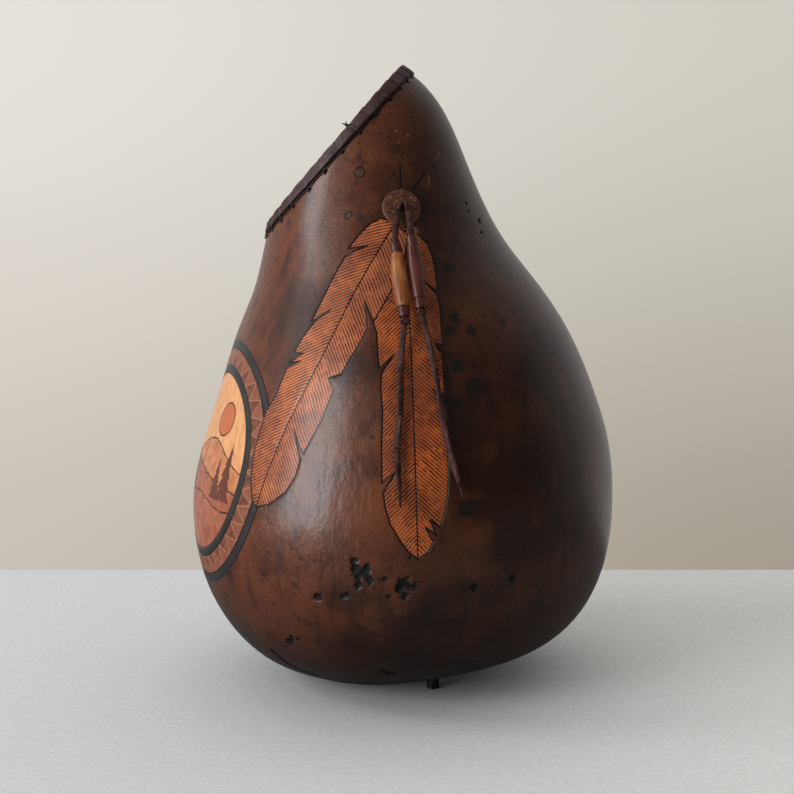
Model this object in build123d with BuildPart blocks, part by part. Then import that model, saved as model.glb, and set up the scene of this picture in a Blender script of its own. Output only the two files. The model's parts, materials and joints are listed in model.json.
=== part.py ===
from build123d import *
import os
from math import cos, pi, radians, sin, sqrt, tan

os.makedirs("parts", exist_ok=True)

# A dyed gourd jar with a slanted mouth. The mouth is bound in leather, and a coconut shell disc on
# the neck holds a doubled lace whose two strands hang down the front with horn beads on them.
# Millimetres, +Z up. The gourd stands on Z = 0 with its belly over the origin, its front towards
# -Y, and its mouth slopes down towards -X.

# ---- driving dimensions ----

# round sections of the gourd: height, radius, and how far the centre leans along X
SECTIONS = [
    (4.0, 45.0, -14.5),
    (9.0, 58.0, -13.0),
    (18.0, 77.5, -6.0),
    (32.0, 94.0, -1.5),
    (52.0, 105.0, -0.5),
    (78.0, 111.0, -0.5),
    (104.0, 111.0, 0.0),
    (130.0, 106.0, 1.5),
    (156.0, 97.5, 1.5),
    (182.0, 87.5, 0.0),
    (206.0, 75.0, -3.0),
    (228.0, 63.5, -9.0),
    (250.0, 54.0, -12.0),
    (275.0, 43.5, -12.5),
    (298.0, 33.0, -13.0),
    (314.0, 18.5, -13.0),
    (321.0, 8.0, -13.0),
]
wall = 6.0

# the slanted cut of the mouth: its middle, its slope, and the azimuth of its low side from -Y
mouth_middle_x = -34.0
mouth_middle_height = 279.2
mouth_slope = 49.0
mouth_azimuth = -87.4
mouth_width_to_length = 0.67

# the leather folded over the cut edge
leather = 1.8
leather_gap = 0.1
leather_drop = 5.4
leather_edge_slope = 47.3

# the waxed thread: a cord along the leather's edge, and a whip stitch through each drilled hole
edge_cord = 0.9
thread_radius = 0.4
thread_gap = 0.05
stitch_count = 30
stitch_first = 4.0
stitch_hole_drop = 1.5
stitch_hole_radius = 0.7
stitch_end_depth = 2.0
stitch_bend = 0.5
tied_stitch = 8
tie_knot_radius = 1.3
tie_tail_radius = 0.35
tie_tail_length = 4.5

# three peg feet glued into the bottom
foot_radius = 3.2
foot_top = 8.0
foot_edge = 0.6
foot_circle = 41.0
foot_azimuths = {"foot_front": 22.0, "foot_right": 142.0, "foot_left": 262.0}
glue_gap = 0.05

# the coconut shell disc and the lace through it
anchor_azimuth = -1.5
anchor_height = 246.5
running_gap = 0.3
disc_radius = 9.45
disc_thickness = 2.0
disc_edge = 0.5
lace_radius = 1.4
lace_hole_gap = 0.4
doubled_lace_radius = 1.9
stop_knot_radius = 4.2
bend_radius = 1.8
bend_spread = 1.95

# beads: hair pipes between two short caps, and knots that stop them
bead_bore_gap = 0.3
bead_gap = 0.15
cap_length = 5.1
cap_radius = 2.65
cap_waist = 2.45
pipe_length = 27.2
pipe_end_radius = 2.9
left_pipe_radius = 3.9
right_pipe_radius = 3.65
bead_knot_radius = 2.9
bead_knot_half_height = 1.9
tail_knot_radius = 2.1
tail_knot_half_height = 2.3
knot_rounding = 0.9

# where each bead stack's top lies, the way it points, and the rest of each lace's route
left_stack_top = Vector(-3.9, -69.1, 229.7)
left_stack_way = Vector(0.104, -0.474, -0.874)
left_route_above = [(-3.7, -63.7, 239.8)]
left_route_below = [
    (-0.9, -89.3, 185.6),
    (-1.7, -94.0, 172.6),
    (-1.4, -98.8, 159.6),
    (-2.6, -103.2, 146.6),
    (-3.7, -106.4, 137.4),
    (-2.6, -109.2, 127.4),
    (-1.8, -112.2, 112.0),
]
left_knot_point = 4
right_stack_top = Vector(3.5, -66.2, 233.3)
right_stack_way = Vector(0.111, -0.479, -0.875)
right_route_above = [(2.8, -61.8, 241.4)]
right_route_below = [
    (10.4, -86.8, 189.7),
    (13.3, -91.0, 177.6),
    (15.5, -95.5, 165.3),
    (17.2, -99.6, 153.4),
    (19.6, -103.4, 141.6),
    (22.6, -106.2, 130.6),
    (27.0, -108.6, 115.9),
]
straight_above_stack = 4.5
straight_below_stack = 0.4
arc_share = 0.45


# ---- the gourd's form ----


def gourd_form(grow):
    """The whole gourd as a solid, its skin moved out sideways by grow."""
    with BuildPart() as form:
        for height, radius, lean in SECTIONS:
            with BuildSketch(Plane((lean, 0, height))):
                Circle(radius + grow)
        loft()
    return form.part


def hollow_form(grow):
    """The space inside the wall as a solid, its skin moved out sideways by grow."""
    base_height, base_radius, base_lean = SECTIONS[0]
    with BuildPart() as form:
        with BuildSketch(Plane((base_lean, 0, base_height + wall))):
            Circle(base_radius + grow)
        for below, here, above in zip(SECTIONS[1:], SECTIONS[2:-1], SECTIONS[3:]):
            height, radius, lean = here
            steepness = (above[1] - below[1]) / (above[0] - below[0])
            inset = wall * sqrt(1 + steepness**2)
            with BuildSketch(Plane((lean, 0, height))):
                Circle(radius - inset + grow)
        loft()
    return form.part


def slanted_plane(height, slope):
    """A plane through the mouth's middle line at that height, sloping down to the mouth's low side."""
    azimuth = radians(mouth_azimuth)
    low_side = Vector(sin(azimuth), -cos(azimuth), 0)
    tilt = radians(slope)
    downhill = low_side * cos(tilt) - Vector(0, 0, sin(tilt))
    outward = low_side * sin(tilt) + Vector(0, 0, cos(tilt))
    return Plane((mouth_middle_x, 0, height), x_dir=downhill, z_dir=outward)


mouth = slanted_plane(mouth_middle_height, mouth_slope)
leather_edge = slanted_plane(mouth_middle_height - leather_drop, leather_edge_slope)
skin = gourd_form(0)
hollow = hollow_form(0)


def first_hit(solid, start, way):
    """The first point where a ray from inside meets the solid's skin, and the skin's normal there."""
    hits = solid.find_intersection_points(Axis(start, way))
    ahead = [(point, normal) for point, normal in hits if (point - start).dot(way) > 0]
    point, normal = min(ahead, key=lambda hit: (hit[0] - start).length)
    if normal.dot(way) < 0:
        normal = -normal
    return point, normal


# ---- stitches, laid out in the plane that each one lies in ----


def right_normal(start, end):
    """The unit vector on the right of the way from start to end."""
    along = (end - start).normalized()
    return Vector(along.Y, -along.X)


def moved_corner(before, corner, after, distance):
    """The corner of two lines that have both moved to their right by that distance."""
    first = right_normal(before, corner)
    second = right_normal(corner, after)
    return corner + (first + second) * (distance / (1 + first.dot(second)))


def stitch_layout(turn):
    """One whip stitch's route over the leather, and the two ends of its hole, at a turn round the mouth."""
    angle = radians(turn)
    outward = mouth.x_dir * cos(angle) + mouth.y_dir * (mouth_width_to_length * sin(angle))
    outward = outward.normalized()
    upward = mouth.z_dir
    hole_plane = leather_edge.offset(-stitch_hole_drop)

    def flat_hit(solid, plane):
        """Where that plane meets the solid's skin on this stitch, as distance outward and upward."""
        centre_rise = (plane.origin - mouth.origin).dot(plane.z_dir) / upward.dot(plane.z_dir)
        start = mouth.origin + upward * centre_rise
        way = (outward - upward * (outward.dot(plane.z_dir) / upward.dot(plane.z_dir))).normalized()
        offset = first_hit(solid, start, way)[0] - mouth.origin
        return Vector(offset.dot(outward), offset.dot(upward))

    hole_outer = flat_hit(skin, hole_plane)
    edge_outer = flat_hit(skin, leather_edge)
    top_outer = flat_hit(skin, mouth)
    top_inner = flat_hit(hollow, mouth)
    edge_inner = flat_hit(hollow, leather_edge)
    hole_inner = flat_hit(hollow, hole_plane)
    inward = (hole_inner - hole_outer).normalized()
    lift = leather_gap + leather + thread_gap + thread_radius
    route = [
        hole_outer + inward * stitch_end_depth,
        hole_outer - inward * (thread_radius + thread_gap),
        edge_outer + right_normal(edge_outer, top_outer) * lift,
        moved_corner(edge_outer, top_outer, top_inner, lift),
        moved_corner(top_outer, top_inner, edge_inner, lift),
        edge_inner + right_normal(top_inner, edge_inner) * lift,
        hole_inner + inward * (thread_radius + thread_gap),
        hole_inner - inward * stitch_end_depth,
    ]

    def in_space(point):
        return mouth.origin + outward * point.X + upward * point.Y

    return [in_space(point) for point in route], in_space(hole_outer), in_space(hole_inner), outward


stitch_step = 360 / stitch_count
stitch_layouts = [stitch_layout(stitch_first + stitch_step * i) for i in range(stitch_count)]

# ---- the disc's place on the neck ----

anchor_turn = radians(anchor_azimuth)
anchor_way = Vector(sin(anchor_turn), -cos(anchor_turn), 0)
anchor, anchor_normal = first_hit(skin, Vector(0, 0, anchor_height), anchor_way)
disc_place = Plane(anchor, x_dir=Vector(0, 0, 1).cross(anchor_normal), z_dir=anchor_normal)
wall_inner, wall_inner_normal = first_hit(hollow, anchor - anchor_normal * (4 * wall), anchor_normal)
wall_depth = (anchor - wall_inner).length
lace_hole_radius = doubled_lace_radius + lace_hole_gap
disc_front = running_gap + disc_thickness
bend_height = disc_front + running_gap + bend_radius

# ---- gourd shell ----

with BuildPart() as gourd_shell:
    add(skin)
    add(hollow, mode=Mode.SUBTRACT)
    split(bisect_by=mouth, keep=Keep.BOTTOM)
    with BuildSketch(disc_place.offset(wall)):
        Circle(lace_hole_radius)
    extrude(amount=-3 * wall, mode=Mode.SUBTRACT)
    for route, hole_outer, hole_inner, outward in stitch_layouts:
        hole_way = (hole_inner - hole_outer).normalized()
        hole_start = hole_outer - hole_way * leather
        with BuildSketch(Plane(hole_start, z_dir=hole_way)):
            Circle(stitch_hole_radius)
        extrude(amount=(hole_inner - hole_outer).length + 2 * leather, mode=Mode.SUBTRACT)
    for azimuth in foot_azimuths.values():
        foot_x = foot_circle * sin(radians(azimuth))
        foot_y = -foot_circle * cos(radians(azimuth))
        with BuildSketch(Plane((foot_x, foot_y, 0))):
            Circle(foot_radius + glue_gap)
        extrude(amount=foot_top + glue_gap, mode=Mode.SUBTRACT)
gourd_shell.part.label = "gourd_shell"
export_step(gourd_shell.part, "parts/gourd_shell.step")

# ---- leather binding over the mouth's edge, and the cord along its lower edge ----

with BuildPart() as rim_wall:
    add(gourd_form(leather_gap))
    add(hollow_form(-leather_gap), mode=Mode.SUBTRACT)
    split(bisect_by=mouth.offset(leather_gap), keep=Keep.BOTTOM)

with BuildPart() as rim_leather:
    add(gourd_form(leather_gap + leather))
    add(hollow_form(-leather_gap - leather), mode=Mode.SUBTRACT)
    split(bisect_by=mouth.offset(leather_gap + leather), keep=Keep.BOTTOM)
    split(bisect_by=leather_edge, keep=Keep.TOP)
    add(rim_wall.part, mode=Mode.SUBTRACT)
rim_leather.part.label = "rim_leather"
export_step(rim_leather.part, "parts/rim_leather.step")

with BuildPart() as rim_edge_cord:
    add(gourd_form(leather_gap + edge_cord))
    add(gourd_form(leather_gap), mode=Mode.SUBTRACT)
    split(bisect_by=leather_edge.offset(-leather_gap), keep=Keep.BOTTOM)
    split(bisect_by=leather_edge.offset(-leather_gap - edge_cord), keep=Keep.TOP)
rim_edge_cord.part.label = "rim_edge_cord"
export_step(rim_edge_cord.part, "parts/rim_edge_cord.step")

# ---- whip stitches, and the knot that ties the thread off ----

with BuildPart() as rim_stitches:
    for route, hole_outer, hole_inner, outward in stitch_layouts:
        with BuildLine() as stitch_path:
            FilletPolyline(*route, radius=stitch_bend)
        with BuildSketch(stitch_path.line ^ 0):
            Circle(thread_radius)
        sweep(path=stitch_path.line)
rim_stitches.part.label = "rim_stitches"
export_step(rim_stitches.part, "parts/rim_stitches.step")

tied_route, tied_outer, tied_inner, tied_outward = stitch_layouts[tied_stitch]
tie_rise = thread_radius + thread_gap + tie_knot_radius
tie_centre = tied_route[3] + mouth.z_dir * tie_rise - tied_outward * tie_knot_radius
with BuildPart() as rim_tie_knot:
    with Locations(tie_centre):
        Sphere(tie_knot_radius)
    for lean in (-0.5, 0.6):
        thread_way = mouth.z_dir + tied_outward.cross(mouth.z_dir) * lean
        with BuildSketch(Plane(tie_centre, z_dir=thread_way)):
            Circle(tie_tail_radius)
        extrude(amount=tie_tail_length)
rim_tie_knot.part.label = "rim_tie_knot"
export_step(rim_tie_knot.part, "parts/rim_tie_knot.step")

# ---- feet ----

for name, azimuth in foot_azimuths.items():
    foot_x = foot_circle * sin(radians(azimuth))
    foot_y = -foot_circle * cos(radians(azimuth))
    with BuildPart() as foot:
        with BuildSketch(Plane((foot_x, foot_y, 0))):
            Circle(foot_radius)
        extrude(amount=foot_top)
        fillet(foot.edges().sort_by(Axis.Z)[0], radius=foot_edge)
    foot.part.label = name
    export_step(foot.part, f"parts/{name}.step")

# ---- coconut shell disc, and the doubled lace that holds it ----

with BuildPart() as coconut_disc:
    with BuildSketch(disc_place.offset(running_gap)):
        Circle(disc_radius)
        Circle(lace_hole_radius, mode=Mode.SUBTRACT)
    extrude(amount=disc_thickness)
    outer_rims = coconut_disc.edges().filter_by(GeomType.CIRCLE).group_by(SortBy.RADIUS)[-1]
    fillet(outer_rims, radius=disc_edge)
coconut_disc.part.label = "coconut_disc"
export_step(coconut_disc.part, "parts/coconut_disc.step")

stop_knot_drop = wall_depth + thread_gap + sqrt(stop_knot_radius**2 - lace_hole_radius**2)
with BuildPart() as lace_anchor:
    with BuildSketch(disc_place.offset(disc_front)):
        Circle(doubled_lace_radius)
    extrude(amount=-disc_front - stop_knot_drop)
    with Locations(anchor - anchor_normal * stop_knot_drop):
        Sphere(stop_knot_radius)
lace_anchor.part.label = "lace_anchor"
export_step(lace_anchor.part, "parts/lace_anchor.step")

# ---- the two hanging strands ----


def bead(name, start, way, length, end_radius, middle_radius):
    """A bead turned about the lace, from start along way, with a bore for the lace."""
    bore = lace_radius + bead_bore_gap
    across = way.cross(Vector(1, 0, 0)).normalized()
    with BuildPart() as turned:
        with BuildSketch(Plane(start, x_dir=across, z_dir=across.cross(way))):
            with BuildLine():
                ThreePointArc((end_radius, 0), (middle_radius, length / 2), (end_radius, length))
                Polyline((end_radius, length), (bore, length), (bore, 0), (end_radius, 0))
            make_face()
        revolve(axis=Axis(start, way))
    turned.part.label = name
    export_step(turned.part, f"parts/{name}.step")


def knot(name, centre, way, radius, half_height):
    """A knot in the lace, as a rounded lump about it that is half_height long each way along the lace."""
    with BuildPart() as lump:
        with BuildSketch(Plane(centre - way * half_height, z_dir=way)):
            Circle(radius)
        extrude(amount=2 * half_height)
        rims = lump.edges().filter_by(GeomType.CIRCLE)
        fillet(rims, radius=knot_rounding * min(radius, half_height))
    lump.part.label = name
    export_step(lump.part, f"parts/{name}.step")


def lace(name, points):
    """A lace as a tube of straight runs joined by arcs as large as the runs allow."""
    runs = [(after - before).length for before, after in zip(points, points[1:])]
    radii = []
    for i in range(1, len(points) - 1):
        turn = (points[i] - points[i - 1]).get_angle(points[i + 1] - points[i])
        radii.append(arc_share * min(runs[i - 1], runs[i]) / tan(radians(turn / 2)))
    with BuildPart() as tube:
        with BuildLine() as path:
            FilletPolyline(*points, radius=radii)
        with BuildSketch(path.line ^ 0):
            Circle(lace_radius)
        sweep(path=path.line)
    tube.part.label = name
    export_step(tube.part, f"parts/{name}.step")
    length = path.wire().length
    share = tube.part.volume / (pi * lace_radius**2 * length)
    print(name, "arc radii", [round(radius, 1) for radius in radii])
    print(name, "length", round(length, 1), "volume over section x length", round(share, 4))


def strand(side, sign, stack_top, stack_way, above, below, pipe_radius):
    """One strand: the bent lace end on the disc, its lace, and the beads and knot on it."""
    way = stack_way.normalized()
    bend_centre = disc_place.from_local_coords(Vector(sign * bend_spread, 0, bend_height))
    with BuildPart() as lace_bend:
        with Locations(bend_centre):
            Sphere(bend_radius)
    lace_bend.part.label = f"{side}_lace_bend"
    export_step(lace_bend.part, f"parts/{side}_lace_bend.step")

    cap_start = stack_top
    pipe_start = cap_start + way * (cap_length + bead_gap)
    lower_start = pipe_start + way * (pipe_length + bead_gap)
    knot_centre = lower_start + way * (cap_length + bead_gap + bead_knot_half_height)
    bead(f"{side}_upper_cap", cap_start, way, cap_length, cap_waist, cap_radius)
    bead(f"{side}_pipe_bead", pipe_start, way, pipe_length, pipe_end_radius, pipe_radius)
    bead(f"{side}_lower_cap", lower_start, way, cap_length, cap_waist, cap_radius)
    knot(f"{side}_bead_knot", knot_centre, way, bead_knot_radius, bead_knot_half_height)

    first_point = Vector(*above[0])
    lace_start = bend_centre + (first_point - bend_centre).normalized() * (bend_radius + running_gap)
    points = [lace_start]
    points += [Vector(*point) for point in above]
    points.append(stack_top - way * straight_above_stack)
    points.append(knot_centre + way * straight_below_stack)
    points += [Vector(*point) for point in below]
    lace(f"{side}_lace", points)
    print(side, "bend centre", [round(value, 2) for value in bend_centre], "way", way)
    print(side, "stack from", cap_start, "pipe", pipe_start, "lower", lower_start, "knot", knot_centre)


strand(
    "left", -1, left_stack_top, left_stack_way, left_route_above, left_route_below, left_pipe_radius
)
strand(
    "right", 1, right_stack_top, right_stack_way, right_route_above, right_route_below, right_pipe_radius
)
tail_points = [Vector(*point) for point in left_route_below]
tail_way = (tail_points[left_knot_point + 1] - tail_points[left_knot_point - 1]).normalized()
knot("left_tail_knot", tail_points[left_knot_point], tail_way, tail_knot_radius, tail_knot_half_height)

print("anchor", anchor, "normal", anchor_normal, "wall", round(wall_depth, 2))
print("tie knot", tie_centre)
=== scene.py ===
import json
import math

import bmesh
import bpy
import numpy as np
from mathutils import Matrix, Vector, noise

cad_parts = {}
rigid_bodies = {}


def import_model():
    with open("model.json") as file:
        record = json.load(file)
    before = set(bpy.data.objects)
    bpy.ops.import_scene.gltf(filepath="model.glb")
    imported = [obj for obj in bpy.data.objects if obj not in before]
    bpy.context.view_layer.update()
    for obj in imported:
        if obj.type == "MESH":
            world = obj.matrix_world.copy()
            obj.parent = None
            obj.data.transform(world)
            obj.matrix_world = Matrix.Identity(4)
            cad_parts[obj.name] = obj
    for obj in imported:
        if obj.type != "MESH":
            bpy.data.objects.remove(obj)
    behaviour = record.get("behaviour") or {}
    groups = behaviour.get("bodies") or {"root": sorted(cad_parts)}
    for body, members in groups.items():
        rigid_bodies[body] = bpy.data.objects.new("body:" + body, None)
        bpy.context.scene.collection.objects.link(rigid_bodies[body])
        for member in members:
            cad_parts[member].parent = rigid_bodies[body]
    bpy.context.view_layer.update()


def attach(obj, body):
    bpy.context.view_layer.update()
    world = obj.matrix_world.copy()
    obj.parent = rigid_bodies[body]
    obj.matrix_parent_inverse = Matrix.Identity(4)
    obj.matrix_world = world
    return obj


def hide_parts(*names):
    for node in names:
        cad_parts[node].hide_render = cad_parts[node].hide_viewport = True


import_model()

# ---- gourd: a dried hard-shell gourd 6 mm thick, scraped hollow, its neck sawn off at a slant ----
# Two feathers and a medallion are burned and scraped into its skin, which is dyed dark red-brown,
# rubbed back and lacquered. It is drawn in millimetres, Z up and front to -Y, and made in metres.

gourd_heights = [4, 9, 18, 32, 52, 78, 104, 130, 156, 182, 206, 228, 250, 275, 298, 314, 321]
gourd_radii = [45, 58, 77.5, 94, 105, 111, 111, 106, 97.5, 87.5, 75, 63.5, 54, 43.5, 33, 18.5, 8]
gourd_leans = [
    -14.5, -13, -6, -1.5, -0.5, -0.5, 0, 1.5, 1.5, 0, -3, -9, -12, -12.5, -13, -13, -13
]
hollow_heights = [10, 18, 32, 52, 78, 104, 130, 156, 182, 206, 228, 250, 275, 298, 314]
hollow_radii = [45, 66.4, 86.3, 98.6, 105, 105, 99.8, 91.1, 80.9, 68.2, 56.9, 47.5, 37, 25.9, 9.6]


def smooth_line(places, values):
    """The smooth curve through those values, as a function of the place."""
    places, values = np.array(places, float), np.array(values, float)
    gaps, rises = np.diff(places), np.diff(values)
    count = len(places)
    system, right = np.zeros((count, count)), np.zeros(count)
    for i in range(1, count - 1):
        system[i, i - 1 : i + 2] = gaps[i - 1], 2 * (gaps[i - 1] + gaps[i]), gaps[i]
        right[i] = 6 * (rises[i] / gaps[i] - rises[i - 1] / gaps[i - 1])
    system[0, :3] = gaps[1], -gaps[0] - gaps[1], gaps[0]
    system[-1, -3:] = gaps[-1], -gaps[-2] - gaps[-1], gaps[-2]
    bends = np.linalg.solve(system, right)

    def at(place):
        place = np.clip(place, places[0], places[-1])
        i = np.clip(np.searchsorted(places, place) - 1, 0, count - 2)
        after = (place - places[i]) / gaps[i]
        before = 1 - after
        bow = (before**3 - before) * bends[i] + (after**3 - after) * bends[i + 1]
        return before * values[i] + after * values[i + 1] + bow * gaps[i] ** 2 / 6

    return at


gourd_radius = smooth_line(gourd_heights, gourd_radii)
gourd_lean = smooth_line(gourd_heights, gourd_leans)
hollow_radius = smooth_line(hollow_heights, hollow_radii)

mouth_middle = Vector((-34, 0, 279.2))
low_turn = math.radians(-87.4)
low_side = Vector((math.sin(low_turn), -math.cos(low_turn), 0))
mouth_slope = math.radians(49)
mouth_downhill = low_side * math.cos(mouth_slope) - Vector((0, 0, math.sin(mouth_slope)))
mouth_up = low_side * math.sin(mouth_slope) + Vector((0, 0, math.cos(mouth_slope)))
mouth_side = mouth_up.cross(mouth_downhill)
edge_slope = math.radians(47.3)
edge_middle = Vector((-34, 0, 273.8))
edge_up = low_side * math.sin(edge_slope) + Vector((0, 0, math.cos(edge_slope)))
hole_middle = edge_middle - edge_up * 1.5
stitch_count, stitch_first, stitch_step = 30, 4, 12  # the turns, in degrees, from the low side


def mouth_way(turn):
    """The way out from the mouth's middle at a turn in degrees from its low side."""
    angle = math.radians(turn)
    return (mouth_downhill * math.cos(angle) + mouth_side * (0.67 * math.sin(angle))).normalized()


def rim_point(turn, plane_middle, plane_up, radius_at):
    """Where a slanted plane meets a side of the wall, at that turn round the mouth."""
    out = mouth_way(turn)
    way = (out - mouth_up * (out.dot(plane_up) / mouth_up.dot(plane_up))).normalized()
    lower = (plane_middle - mouth_middle).dot(plane_up) / mouth_up.dot(plane_up)
    start = mouth_middle + mouth_up * lower
    near, far = 0.0, 140.0
    for _ in range(22):
        half = (near + far) / 2
        point = start + way * half
        if math.hypot(point.x - float(gourd_lean(point.z)), point.y) < float(radius_at(point.z)):
            near = half
        else:
            far = half
    return start + way * near


def up_the_side(radius_at, low, high, step):
    """Points of radius and height up a side of the gourd, a step apart, closed on its axis."""
    heights = np.linspace(low, high, 2000)
    climb = np.hypot(np.diff(heights), np.diff(radius_at(heights)))
    travelled = np.concatenate([[0], np.cumsum(climb)])
    even = np.linspace(0, travelled[-1], round(travelled[-1] / step) + 1)
    even_heights = np.interp(even, travelled, heights)
    side = [(float(radius_at(height)), float(height)) for height in even_heights]
    return [(0, low)] + side + [(0, high)]


def turned(points, steps):
    """Points of radius and height turned about the upright axis into a closed skin."""
    shape = bmesh.new()
    line = [shape.verts.new((radius, 0, height)) for radius, height in points]
    edges = [shape.edges.new(pair) for pair in zip(line, line[1:])]
    bmesh.ops.spin(
        shape,
        geom=line + edges,
        axis=(0, 0, 1),
        cent=(0, 0, 0),
        angle=2 * math.pi,
        steps=steps,
        use_merge=True,
    )
    bmesh.ops.remove_doubles(shape, verts=shape.verts, dist=0.001)
    bmesh.ops.recalc_face_normals(shape, faces=shape.faces)
    return shape


def leaned_and_sawn(shape):
    """The gourd's lean given to a turned skin, and its neck sawn off at the mouth."""
    for vertex in shape.verts:
        vertex.co.x += float(gourd_lean(vertex.co.z))
    bmesh.ops.bisect_plane(
        shape,
        geom=shape.verts[:] + shape.edges[:] + shape.faces[:],
        plane_co=mouth_middle,
        plane_no=mouth_up,
        clear_outer=True,
    )


def joined(shapes):
    """Several bmeshes made one."""
    whole = bmesh.new()
    for shape in shapes:
        mesh = bpy.data.meshes.new("part")
        shape.to_mesh(mesh)
        shape.free()
        whole.from_mesh(mesh)
        bpy.data.meshes.remove(mesh)
    return whole


def finer(shape, chosen, cuts):
    """The chosen faces divided into cuts + 1 each way, for carving."""
    faces = shape.faces[:]
    middles = np.array([face.calc_center_median() for face in faces])
    edges = {edge for face, keep in zip(faces, chosen(middles)) if keep for edge in face.edges}
    bmesh.ops.subdivide_edges(shape, edges=list(edges), cuts=cuts, use_grid_fill=True)


def made(name, shape, scale=0.001):
    """A new piece from a finished bmesh."""
    bmesh.ops.scale(shape, vec=(scale, scale, scale), verts=shape.verts)
    mesh = bpy.data.meshes.new(name)
    shape.to_mesh(mesh)
    shape.free()
    mesh.shade_smooth()
    piece = bpy.data.objects.new(name, mesh)
    bpy.context.scene.collection.objects.link(piece)
    return piece


class Feather:
    """A feather laid on the gourd. Places on it are millimetres along it and across to its right."""

    def __init__(self, top, along, across, outline, shaft):
        self.top, self.along, self.across = np.array(top), np.array(along), np.array(across)
        self.outline, self.shaft = np.array(outline, float), np.array(shaft, float)

    def places(self, points):
        """How far along the feather and across from its shaft those points of the gourd lie."""
        along = (points - self.top) @ self.along
        across = (points - self.top) @ self.across
        return along, across, across - np.interp(along, self.shaft[:, 0], self.shaft[:, 1])

    def inside(self, points):
        """How far inside the feather's outline those points lie, and less than 0 outside it."""
        along, across, _ = self.places(points)
        nearest = np.full(len(points), 1e9)
        within = np.zeros(len(points), bool)
        for (a1, c1), (a2, c2) in zip(self.outline, np.roll(self.outline, -1, axis=0)):
            run_a, run_c = a2 - a1, c2 - c1
            share = ((along - a1) * run_a + (across - c1) * run_c) / (run_a**2 + run_c**2)
            share = np.clip(share, 0, 1)
            away = np.hypot(along - a1 - share * run_a, across - c1 - share * run_c)
            nearest = np.minimum(nearest, away)
            passes = (c1 > across) != (c2 > across)
            if run_c:
                within ^= passes & (along < a1 + (across - c1) * run_a / run_c)
        far = (points[:, 1] > -5) | (np.abs(across) > 40)
        return np.where(far, -9, np.clip(np.where(within, nearest, -nearest), -9, 9))


# The first feather lies over the second.
first_feather = Feather(
    top=(-5.3, -58.9, 237.8),
    along=(-0.439, -0.175, -0.881),
    across=(0.801, -0.521, -0.295),
    outline=[
        (-1.7, -6.7), (3, -9.5), (8, -11.2), (13, -12.2), (18.7, -13.1), (13.2, -5.2), (22.3, -12.5),
        (34.8, -13.1), (46, -12.9), (57.9, -12.6), (49.4, -5.8), (56.9, -10.6), (68, -13.3),
        (75.1, -13.9), (73.6, -8.4), (80.8, -14.6), (77.3, -7.8), (83.2, -14.3), (97.7, -14.1),
        (107, -16.2), (117.4, -14.8), (127.8, -13.1), (138.4, -9), (147.1, -3.7), (149.6, 0),
        (145.3, 7), (136.7, 13.7), (127.5, 15.8), (119.6, 14.6), (108, 4.4), (116.8, 15),
        (98.9, 16.4), (82.9, 15.4), (79.5, 10.3), (75, 15.3), (58.9, 16.2), (50.6, 15.9),
        (47, 13.8), (38.6, 7.5), (46.2, 16.7), (29.8, 16), (12, 12.5), (0, 7), (-3, 0),
    ],
    shaft=[
        (0, 0), (19.9, 0.4), (38.3, 0.8), (58.6, 1.9), (72.4, 2.1), (92.5, 0.7), (108.7, -0.4),
        (129.1, -0.3), (149.6, 0),
    ],
)
second_feather = Feather(
    top=(0.9, -57.7, 238.3),
    along=(0.034, -0.337, -0.941),
    across=(0.999, 0.039, 0.022),
    outline=[
        (-4, -4), (15, -12), (35, -16), (48.7, -17.3), (54.1, -15.8), (64.6, -15.6), (71.7, -15.2),
        (65.1, -7.8), (74.4, -14.2), (80.6, -14.7), (92.9, -14.2), (109.3, -15.3), (125.6, -15.5),
        (120.5, -8.9), (129.9, -15.1), (136.3, -14.5), (144.3, -12.3), (152.4, -7.6), (157.2, -4),
        (160.2, 0.1), (157.4, 4.7), (152.8, 7.2), (145.9, 3.7), (150.2, 9.2), (142.8, 5.8),
        (146.4, 10.7), (140.3, 12.7), (130.7, 14.7), (121.1, 15.3), (109.1, 15.1), (98.1, 14.8),
        (90.3, 14.8), (82.5, 9.3), (85.9, 14.7), (71.2, 14.8), (65.4, 14.5), (60.2, 10.8),
        (61.4, 15), (50.1, 14.7), (40.4, 14.6), (35.5, 13.8), (28.9, 7.9), (33.4, 14.1),
        (23, 13.5), (15.5, 12.5), (8.1, 10), (3.4, 5.6), (8.4, 10.6), (-2, 4.1), (-4, 0),
    ],
    shaft=[(0, 0), (159.4, 0)],
)

# The medallion: two burned rings with a border of triangles between them, round a landscape.
medallion_middle = np.array((-102.11, -33.49, 120.28))
medallion_out = Vector((-0.917, -0.298, 0.265)).normalized()
medallion_up = (Vector((0, 0, 1)) - medallion_out * medallion_out.z).normalized()
medallion_right = medallion_up.cross(medallion_out)
medallion_rings = (62.8, 58.6, 49.5, 45.6)

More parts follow.
